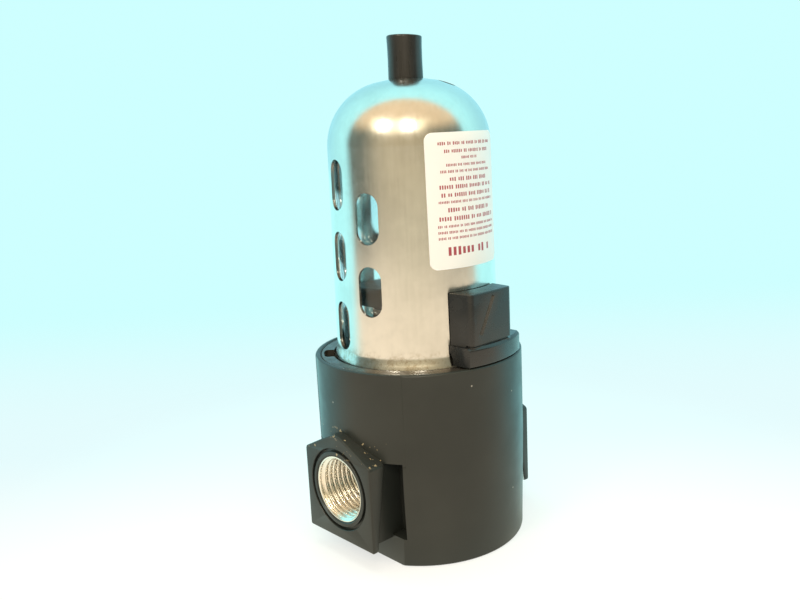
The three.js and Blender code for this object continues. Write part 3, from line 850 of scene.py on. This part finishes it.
def bowl_o_ring():
    groove_radius, groove_z, wire = 26, 48, 0.85
    section = arc(groove_radius, groove_z, wire, 0, 345, 23)
    fine("bowl_o_ring", lathe(section, 128), rubber_look, "bowl")


def drain_bushing():
    inner, flange, bottom, seat, top = 2.8, 6.5, 141.8, 143.15, 148.9
    profile = rounded([(inner, bottom, 0.3), (flange, bottom, 0.4), (flange, seat, 0.3), (4, seat),
                       (4, top, 0.4), (inner, top, 0.3)])
    fine("drain_bushing", lathe(profile, 64), brass_look, "bowl")


def drain_tip():
    """Rubber tip: a thick tube, slightly flared and cut by hand, so its end and side are a little uneven."""
    low, high = heights("drain_tip")
    mesh = lathe(rounded([
        (ROD_HOLE, low, 0.3), (5.62, low, 0.3), (5.60, low + 2), (5.55, low + 6), (5.58, high - 3.5),
        (5.72, high, 0.6), (2.9, high, 0.5), (ROD_HOLE, high - 2),
    ], steps=5), 72)
    for vertex in mesh.vertices:
        x, y, z = vertex.co
        share = (z - low) / (high - low)
        angle = math.atan2(y, x)
        swell = 1 - 0.012 * share * (1 + math.sin(2 * angle + 0.6)) - 0.006 * (1 + math.sin(3 * angle))
        drop = 0.28 * share ** 6 * (1 + math.sin(angle + 2.2))
        vertex.co = (x * swell, y * swell, z - drop)
    fine("drain_tip", mesh, tip_look, "drain", 50)


def drain_rod():
    head, shank, bottom, shoulder, top = 4.6, 2.4, 137.5, 140.2, 163.5
    profile = rounded([(0, bottom), (head, bottom, 0.5), (head, shoulder, 0.3), (shank, shoulder),
                       (shank, top, 0.6), (0, top)], closed=False)
    fine("drain_rod", lathe(profile, 48), brass_look, "drain")


def drain_seal():
    inner, outer, bottom, top = ROD_HOLE, 4.6, 140.35, 141.65
    profile = rounded([(inner, bottom, 0.3), (outer, bottom, 0.3), (outer, top, 0.3), (inner, top, 0.3)])
    fine("drain_seal", lathe(profile, 48), rubber_look, "drain")


# ---------------- guard, label and latch

def guard_profile(inset):
    """Profile of the guard's wall at a depth under its outside, from its foot to the hole for the drain."""
    base, foot, opening = GUARD_BASE_RADIUS - inset, GUARD_FOOT_RADIUS - inset, 6.1
    bottom = heights("bowl_guard")[0]
    profile = [(foot, bottom), (foot, GUARD_FOOT_Z), (base + 0.55, 64.0), (base + 0.15, 65.3)]
    profile += [(base + (GUARD_RADIUS - GUARD_BASE_RADIUS) * i / 8,
                 GUARD_BASE_Z + (DOME_Z - GUARD_BASE_Z) * i / 8) for i in range(8)]
    profile += arc(GUARD_CENTRE, DOME_Z, DOME_KNUCKLE - inset, 0, DOME_ARC, 28)
    radius, z = profile[-1]
    return profile + [(opening, z + (radius - opening) * math.tan(math.radians(90 - DOME_ARC)))]


def guard_slope(radius, z):
    """Outward direction of the guard's wall at a radius and height."""
    if z < GUARD_FOOT_Z:
        return 1, 0
    if z < GUARD_BASE_Z:
        return 1, 0.35 * math.sin(math.pi * (z - GUARD_FOOT_Z) / (GUARD_BASE_Z - GUARD_FOOT_Z))
    if z <= DOME_Z:
        return 1, (GUARD_BASE_RADIUS - GUARD_RADIUS) / (DOME_Z - GUARD_BASE_Z)
    angle = min(math.atan2(z - DOME_Z, max(radius - GUARD_CENTRE, 1e-6)), math.radians(DOME_ARC))
    return math.cos(angle), math.sin(angle)


def guard_top(radius):
    """Height of the dome's outside at a radius."""
    return DOME_Z + math.sqrt(DOME_KNUCKLE ** 2 - (radius - GUARD_CENTRE) ** 2)


def guard_radius(z):
    if z > DOME_Z:
        return GUARD_CENTRE + math.sqrt(DOME_KNUCKLE ** 2 - (z - DOME_Z) ** 2)
    share = (z - GUARD_BASE_Z) / (DOME_Z - GUARD_BASE_Z)
    return GUARD_BASE_RADIUS + (GUARD_RADIUS - GUARD_BASE_RADIUS) * share


def slot_outline(half_width, half_height, z, count=14):
    """Upright outline with round ends about a height."""
    straight = half_height - half_width
    angles = [math.pi * i / count for i in range(count + 1)]
    top = [(half_width * math.cos(a), straight + half_width * math.sin(a)) for a in angles]
    return [(x, z + dz) for x, dz in top + [(-x, -dz) for x, dz in top]]


def bowl_guard():
    """Drawn guard with its lugs, slots, rivet holes and a dished vent, whose inside walls get a black look as
    painted shade.
    """
    shell = lathe(guard_profile(0) + guard_profile(GUARD_WALL)[::-1], 192)
    lugs = []
    half = LUG_HALF_ANGLE
    for degrees in (0, 180):
        outline = [polar(27.9, degrees + half), polar(27.9, degrees - half)]
        outline += [polar(31.7, degrees - half + half * i / 5) for i in range(11)]
        lugs.append(bevelled(prism(outline, 57.3, 59.8), 0.25))
    shell = combined(shell, lugs, "UNION")
    cutters = []
    slot_half_width, slot_half_height, slot_pitch = 4.2, 7.95, 22.6
    first_column, column_step = -75, -30
    for column in range(8):
        rows, lowest = (2, 87.0) if column % 2 == 0 else (3, 74.6)
        for row in range(rows):
            outline = slot_outline(slot_half_width, slot_half_height, lowest + slot_pitch * row)
            cutters.append(outwards(outline, 22, 30, first_column + column_step * column))
    vent_x, vent_y = polar(*VENT_PLACE)
    vent = Vector((vent_x, vent_y, guard_top(VENT_PLACE[0])))
    tilt = math.degrees(math.asin((VENT_PLACE[0] - GUARD_CENTRE) / DOME_KNUCKLE))
    hole, dish = VENT_RADIUS - 0.55, VENT_RADIUS + 0.15
    dished = lathe([(0, -3), (hole, -3), (hole, -0.75), (dish, 0.05), (dish, 2), (0, 2)], 40)
    cutters.append(moved(dished, shift(*vent) @ turn(VENT_PLACE[1]) @ turn(tilt, "X")))
    cutters += [outwards(circle(1, 16, 0, z), 24, 30) for z in RIVET_HEIGHTS]
    shell = combined(shell, [joined(cutters)], "DIFFERENCE")
    shell = smooth_radial(shell, guard_slope)
    # Painted shade: the vent's inside walls, which are the guard's own metal, take the black plastic look so
    # the hole reads dark.
    for polygon in shell.polygons:
        x, y, z = polygon.center
        near = (polygon.center - vent).length < dish + 0.05
        polygon.material_index = 1 if near and abs(z - guard_top(math.hypot(x, y))) > 0.02 else 0
    piece("bowl_guard_shell", shell, guard_look, "guard", "bowl_guard", inner_look=black_plastic_and_vent_shade_look, shaded=True)


def on_guard(x, z, lift):
    """Point on the guard's front, at an arc length x from the middle, raised by lift."""
    radius = guard_radius(z) + lift
    angle = x / guard_radius(min(z, DOME_Z))
    return radius * math.sin(angle), -radius * math.cos(angle), z


def wrapped(outline, low_lift, high_lift, columns):
    """Thin patch on the guard, whose edges are given from the bottom up as (z, left, right)."""
    bm = bmesh.new()
    lower, upper = [
        [[bm.verts.new(on_guard(left + (right - left) * i / columns, z, lift)) for i in range(columns + 1)]
         for z, left, right in outline]
        for lift in (low_lift, high_lift)
    ]
    last = len(outline) - 1
    for r in range(last):
        for c in range(columns):
            bm.faces.new((upper[r][c], upper[r][c + 1], upper[r + 1][c + 1], upper[r + 1][c]))
            bm.faces.new((lower[r][c], lower[r + 1][c], lower[r + 1][c + 1], lower[r][c + 1]))
    for r in range(last):
        for c in (0, columns):
            bm.faces.new((lower[r][c], upper[r][c], upper[r + 1][c], lower[r + 1][c]))
    for c in range(columns):
        for r in (0, last):
            bm.faces.new((lower[r][c], upper[r][c], upper[r][c + 1], lower[r][c + 1]))
    return to_mesh(bm)


def label():
    """White label with rounded corners."""
    low, high = heights("label")
    outline = []
    for i in range(9):
        a = math.pi / 2 * i / 8
        inset = LABEL_CORNER * (1 - math.sin(a))
        outline.append((low + LABEL_CORNER * (1 - math.cos(a)), -LABEL_HALF + inset, LABEL_HALF - inset))
    middle = high - low - 2 * LABEL_CORNER
    outline += [(low + LABEL_CORNER + middle * i / 24, -LABEL_HALF, LABEL_HALF) for i in range(1, 24)]
    outline += [(low + high - z, left, right) for z, left, right in outline[8::-1]]
    piece("label_paper", wrapped(outline, 0.05, 0.22, 48), paper_look, "guard", "label")


def label_print():
    """Plain red strokes for notes: rows of small upright bars in groups, no lettering.

    A row is its height on the guard, the bars' length and how far it reaches to each side.
    """
    random.seed(7)
    rows = [(131.2, 1.0, 11.5), (128.9, 1.0, 9.5), (126.9, 0.8, 3.5), (124.8, 0.8, 9), (122.9, 0.8, 11),
            (120.6, 1.2, 8), (118.3, 1.2, 11.5), (115.9, 1.2, 11), (113.8, 0.8, 12), (111.4, 1.3, 9),
            (108.8, 1.3, 12), (106.5, 0.8, 12.5), (104.7, 0.8, 12.5), (102.9, 0.8, 12.5), (98.9, 2.6, 9.5)]
    strokes = []
    for z, height, reach in rows:
        width = 0.38 * height
        x = -reach
        while x < reach:
            for _ in range(random.randint(2, 7)):
                if x + width < reach:
                    tall = height * random.choice((0.8, 1.0, 1.0))
                    levels = [(z - tall / 2, x, x + width), (z + tall / 2, x, x + width)]
                    strokes.append(wrapped(levels, 0.19, 0.24, 1))
                x += 1.75 * width
            x += 1.4 * width
    piece("label_print", joined(strokes), ink_look, "guard")


def latch_outline(shrink):
    """Outline of the latch's block seen from above, drawn in by some depth."""
    back, front, face = LATCH_BACK - shrink, LATCH_FRONT - shrink, LATCH_FACE + shrink
    return rounded([(-back, -24), (-front, face, 1.6), (front, face, 1.6), (back, -24)], 6)


def latch_slider():
    """Block with rounded front corners, on a ledge that follows the head's rim, hollow for its guide."""
    low, high = heights("latch_slider")
    step = LATCH_STEP_Z
    upper = bevelled(prism(latch_outline(0), step - 0.5, high), 0.35, 3, 50)
    collar = lathe(rounded([
        (22, low), (LEDGE_RADIUS, low, 0.4), (LEDGE_RADIUS, step - 0.8, 0.3), (LEDGE_RADIUS - 0.8, step, 0.3),
        (22, step),
    ]), 240)
    ends = rounded([(LEDGE_LEFT, -20), (LEDGE_LEFT, -31, 0.8), (LEDGE_LEFT + 1.2, -37), (LEDGE_RIGHT, -37),
                    (LEDGE_RIGHT, -20)])
    ledge = combined(collar, [prism(ends, low - 1, step + 1)], "INTERSECT")
    body = combined(upper, [ledge], "UNION")
    base = GUARD_BASE_RADIUS + 0.3
    clear = GUARD_FOOT_RADIUS + 0.4
    inside = lathe([(0, low - 1), (clear, low - 1), (clear, 65.5), (base, GUARD_BASE_Z + 1.5),
                    (base, high + 1), (0, high + 1)], 144)
    mark_half, mark_reach, mark_lean = 0.6, 6.5, 28
    mark = moved(block(-mark_half, mark_half, -mark_half, mark_half, -mark_reach, mark_reach),
                 shift(-2.1, LATCH_FACE - 0.1, 78.9) @ turn(mark_lean, "Y") @ turn(45))
    foot = block(-13, 13, -37, -31.5, step, step + 0.7)
    foot_groove = combined(foot, [prism(latch_outline(0.5), step - 1, step + 2)], "DIFFERENCE")
    guide_room = [block(-2.4, 2.4, -29.2, -20, 69, 84.5), block(-3.4, 3.4, -31.2, -29.1, 69, 84.5)]
    body = combined(body, [inside] + guide_room + [mark, foot_groove], "DIFFERENCE")
    piece("latch_block", body, latch_look, "latch", "latch_slider")


def latch_guide():
    low, high = heights("latch_guide")
    stem_half, flange_half, flange_back = 2, 3, -29.4
    stem = block(-stem_half, stem_half, flange_back - 0.1, -27.4, low, high)
    flange = block(-flange_half, flange_half, -30.9, flange_back, low, high)
    body = combined(stem, [flange], "UNION")
    holes = []
    for z in RIVET_HEIGHTS:
        holes += [outwards(circle(1, 24, 0, z), 26, 32), outwards(circle(1.6, 24, 0, z), 30, 32)]
    fine("latch_guide", bevelled(combined(body, holes, "DIFFERENCE"), 0.12, 2, 50), steel_look, "guard")


def latch_rivet(node, z):
    head, shank, tail, back, face, front = 1.4, 0.7, 1.3, 25.3, 30.3, 30.8
    under = back + 0.45
    profile = rounded([(0, back), (head, back, 0.25), (head, under), (shank, under), (shank, face),
                       (tail, face), (tail, front, 0.3), (0, front)], closed=False)
    fine(node, moved(lathe(profile, 32), shift(0, 0, z) @ turn(90, "X")), steel_look, "guard")


def latch_spring():
    """Helical spring between the latch's shelf and its guide."""
    turns, radius, wire, around, steps = 4.5, 0.9, 0.28, 10, 28
    low, high = heights("latch_spring")
    count = int(turns * steps)
    rise = (high - low - 2 * wire) / count
    rows = []
    for k in range(count + 1):
        a = TAU * k / steps
        centre = Vector((radius * math.cos(a), SPRING_Y + radius * math.sin(a), low + wire + rise * k))
        out = Vector((math.cos(a), math.sin(a), 0))
        rows.append([centre + x * out + Vector((0, 0, z)) for x, z in circle(wire, around)])
    spring = fine("latch_spring", skinned(rows, capped=True), steel_look, "guard", 60)
    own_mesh(spring)


# ---------------- stage, light and camera

AZIMUTH = math.radians(-42.25)
PITCH = math.radians(11.45)
ROLL = math.radians(-2.83)
DISTANCE = 280.0
AIM = Vector((-3.96, 3.59, 79.61))
LENS = 37.29

FRONT = Vector((math.sin(AZIMUTH), -math.cos(AZIMUTH), 0))
SIDE = Vector((math.cos(AZIMUTH), math.sin(AZIMUTH), 0))


def camera():
    forward = -FRONT * math.cos(PITCH) - Vector((0, 0, math.sin(PITCH)))
    level_up = SIDE.cross(forward)
    right = SIDE * math.cos(ROLL) + level_up * math.sin(ROLL)
    up = level_up * math.cos(ROLL) - SIDE * math.sin(ROLL)
    data = bpy.data.cameras.new("camera")
    data.lens = LENS
    data.sensor_width = 36
    data.clip_start = 0.01
    thing = placed("camera", data)
    basis = Matrix((right, up, -forward)).transposed().to_4x4()
    thing.matrix_world = Matrix.Translation((AIM - forward * DISTANCE) * MM) @ basis
    bpy.context.scene.camera = thing


# Colours of the pale sweep and of the warm room in front of it, as the camera and the metal see them.
BACKDROP = (0.62, 1.0, 1.0)
WHITE = (0.99, 0.985, 0.965)
WHITE_FAR = (0.79, 0.97, 0.985)
SWEEP = (0.64, 1.36, 1.38)
SWEEP_FAR = (0.46, 1.02, 1.14)
ROOM = (0.62, 0.51, 0.31)
ROOM_SIDE = (0.17, 0.20, 0.16)
CEILING = (1.15, 0.86, 0.52)
WINDOW = (1.9, 1.6, 1.0)
TABLE_NEAR = (1.28, 1.08, 0.80)
TABLE_FAR = (0.74, 0.66, 0.46)
DAYLIGHT = (1.0, 0.92, 0.78)
LAMPLIGHT = (1.0, 0.97, 0.93)
FLOOR_RADIUS = 3000


def level(degrees):
    """Level direction at an angle from the camera's side towards the right of the picture."""
    return FRONT * math.cos(math.radians(degrees)) + SIDE * math.sin(math.radians(degrees))


def world():
    """Pale sweep behind the object and a warm room with a long bright window in front of it."""
    made = bpy.data.worlds.new("studio")
    bpy.context.scene.world = made
    graph = Graph(made)
    background = graph.nodes["Background"]
    direction = graph.node("TexCoord", {}, "Generated")
    facing = graph.dot(direction, level(-7))
    height = graph.dot(direction, Vector((0, 0, 1)))
    along = graph.dot(direction, level(73))
    sweep = graph.mixed(graph.ranged(facing, -0.95, -0.15), SWEEP_FAR, SWEEP)
    room = graph.mixed(graph.ranged(height, 0.35, 0.70), ROOM, CEILING)
    ahead = graph.ranged(graph.dot(direction, level(-8)), 0.40, 1.0)
    lit = graph.math("MAXIMUM", ahead, graph.ranged(height, 0.30, 0.55))
    room = graph.mixed(lit, ROOM_SIDE, room)
    window = graph.product(graph.ranged(along, -0.62, -0.50), graph.ranged(along, 0.62, 0.50),
                           graph.ranged(height, 0.30, 0.56), graph.ranged(height, 0.74, 0.66))
    room = graph.mixed(window, room, WINDOW)
    around = graph.mixed(graph.ranged(facing, -0.02, 0.08), sweep, room)
    seen = graph.mixed(graph.node("LightPath", {}, "Is Camera Ray"), around, BACKDROP)
    graph.links.new(seen, background.inputs["Color"])
    background.inputs["Strength"].default_value = 1.0


def floor():
    """Pale floor, white round the object and cooler further back, that mirrors as a table in a room."""
    bm = bmesh.new()
    bm.faces.new([bm.verts.new((x, y, -0.05)) for x, y in circle(FLOOR_RADIUS, 96)])
    mesh = bpy.data.meshes.new("floor")
    bm.to_mesh(mesh)
    bm.free()
    mesh.transform(Matrix.Scale(MM, 4))
    thing = placed("floor", mesh)
    material = bpy.data.materials.new("floor")
    graph = Graph(material)
    graph.nodes.clear()
    place = graph.node("TexCoord", {}, "Object")
    forward = graph.dot(place, FRONT)
    away = graph.node("VectorMath", {0: place}, "Value", operation="LENGTH")
    outward = graph.node("VectorMath", {0: place}, "Vector", operation="NORMALIZE")
    white = graph.mixed(graph.ranged(forward, 0.05, -0.09), WHITE, WHITE_FAR)
    pale = graph.mixed(graph.ranged(forward, -0.05, -0.42), white, BACKDROP)
    table = graph.mixed(graph.ranged(forward, 0.22, 0.95), TABLE_NEAR, TABLE_FAR)
    aside = graph.ranged(graph.dot(outward, level(-8)), 1.0, 0.40)
    table = graph.mixed(graph.product(aside, graph.ranged(away, 0.30, 1.1)), table, ROOM_SIDE)
    mirrored = graph.mixed(graph.ranged(forward, 0.07, -0.08), table, SWEEP)
    diffuse = graph.node("BsdfDiffuse", {"Color": pale}, 0)
    glow = graph.node("Emission", {"Color": pale}, 0)
    lit = graph.node("MixShader", {"Fac": graph.ranged(away, 0.04, 0.20, 0.30, 0.0), 1: glow, 2: diffuse}, 0)
    image = graph.node("Emission", {"Color": mirrored}, 0)
    reflected = graph.node("LightPath", {}, "Is Glossy Ray")
    shown = graph.node("MixShader", {"Fac": reflected, 1: lit, 2: image}, 0)
    output = graph.nodes.new("ShaderNodeOutputMaterial")
    graph.links.new(shown, output.inputs["Surface"])
    mesh.materials.append(material)


def lamp(name, direction, distance, size, power, color):
    """Soft square light that looks at the middle of the object."""
    data = bpy.data.lights.new(name, "AREA")
    data.size = size * MM
    data.energy = power
    data.color = color
    thing = placed(name, data)
    place = AIM + direction.normalized() * distance
    thing.location = place * MM
    thing.rotation_euler = (place - AIM).to_track_quat("Z", "Y").to_euler()
    return thing


def lights():
    up = Vector((0, 0, 1))
    lamp("window_left", level(-39) + 0.76 * up, 900, 150, 1.6, DAYLIGHT)
    lamp("window_right", level(0) + 0.76 * up, 900, 150, 1.6, DAYLIGHT)
    ceiling = lamp("ceiling", up + 0.1 * level(0), 1100, 700, 6, LAMPLIGHT)
    ceiling.visible_glossy = False


# ---------------- build

camera()
world()
floor()
lights()

head_casting()
for port_side in (1, -1):
    port_thread(port_side)
bayonet_ring()
deflector()
pleated_element()
baffle()
for seal in ("element_seal_lower", "element_seal_upper"):
    flat_seal(seal, ELEMENT_HOLE, ELEMENT_RADIUS, 0.25, 72, "head")
centre_stud()
hex_nut("baffle_nut", 5, STUD_HOLE, "head")

clear_bowl_piece()
bowl_o_ring()
drain_bushing()
flat_seal("drain_gasket", DRAIN_HOLE, 6.8, 0.2, 64, "bowl")
hex_nut("drain_nut", 7, DRAIN_HOLE, "bowl")
drain_tip()
drain_rod()
drain_seal()

bowl_guard()
label()
label_print()
latch_slider()
latch_guide()
for rivet, rivet_z in zip(("latch_rivet_lower", "latch_rivet_upper"), RIVET_HEIGHTS):
    latch_rivet(rivet, rivet_z)
latch_spring()

bpy.context.scene.view_settings.view_transform = "Standard"
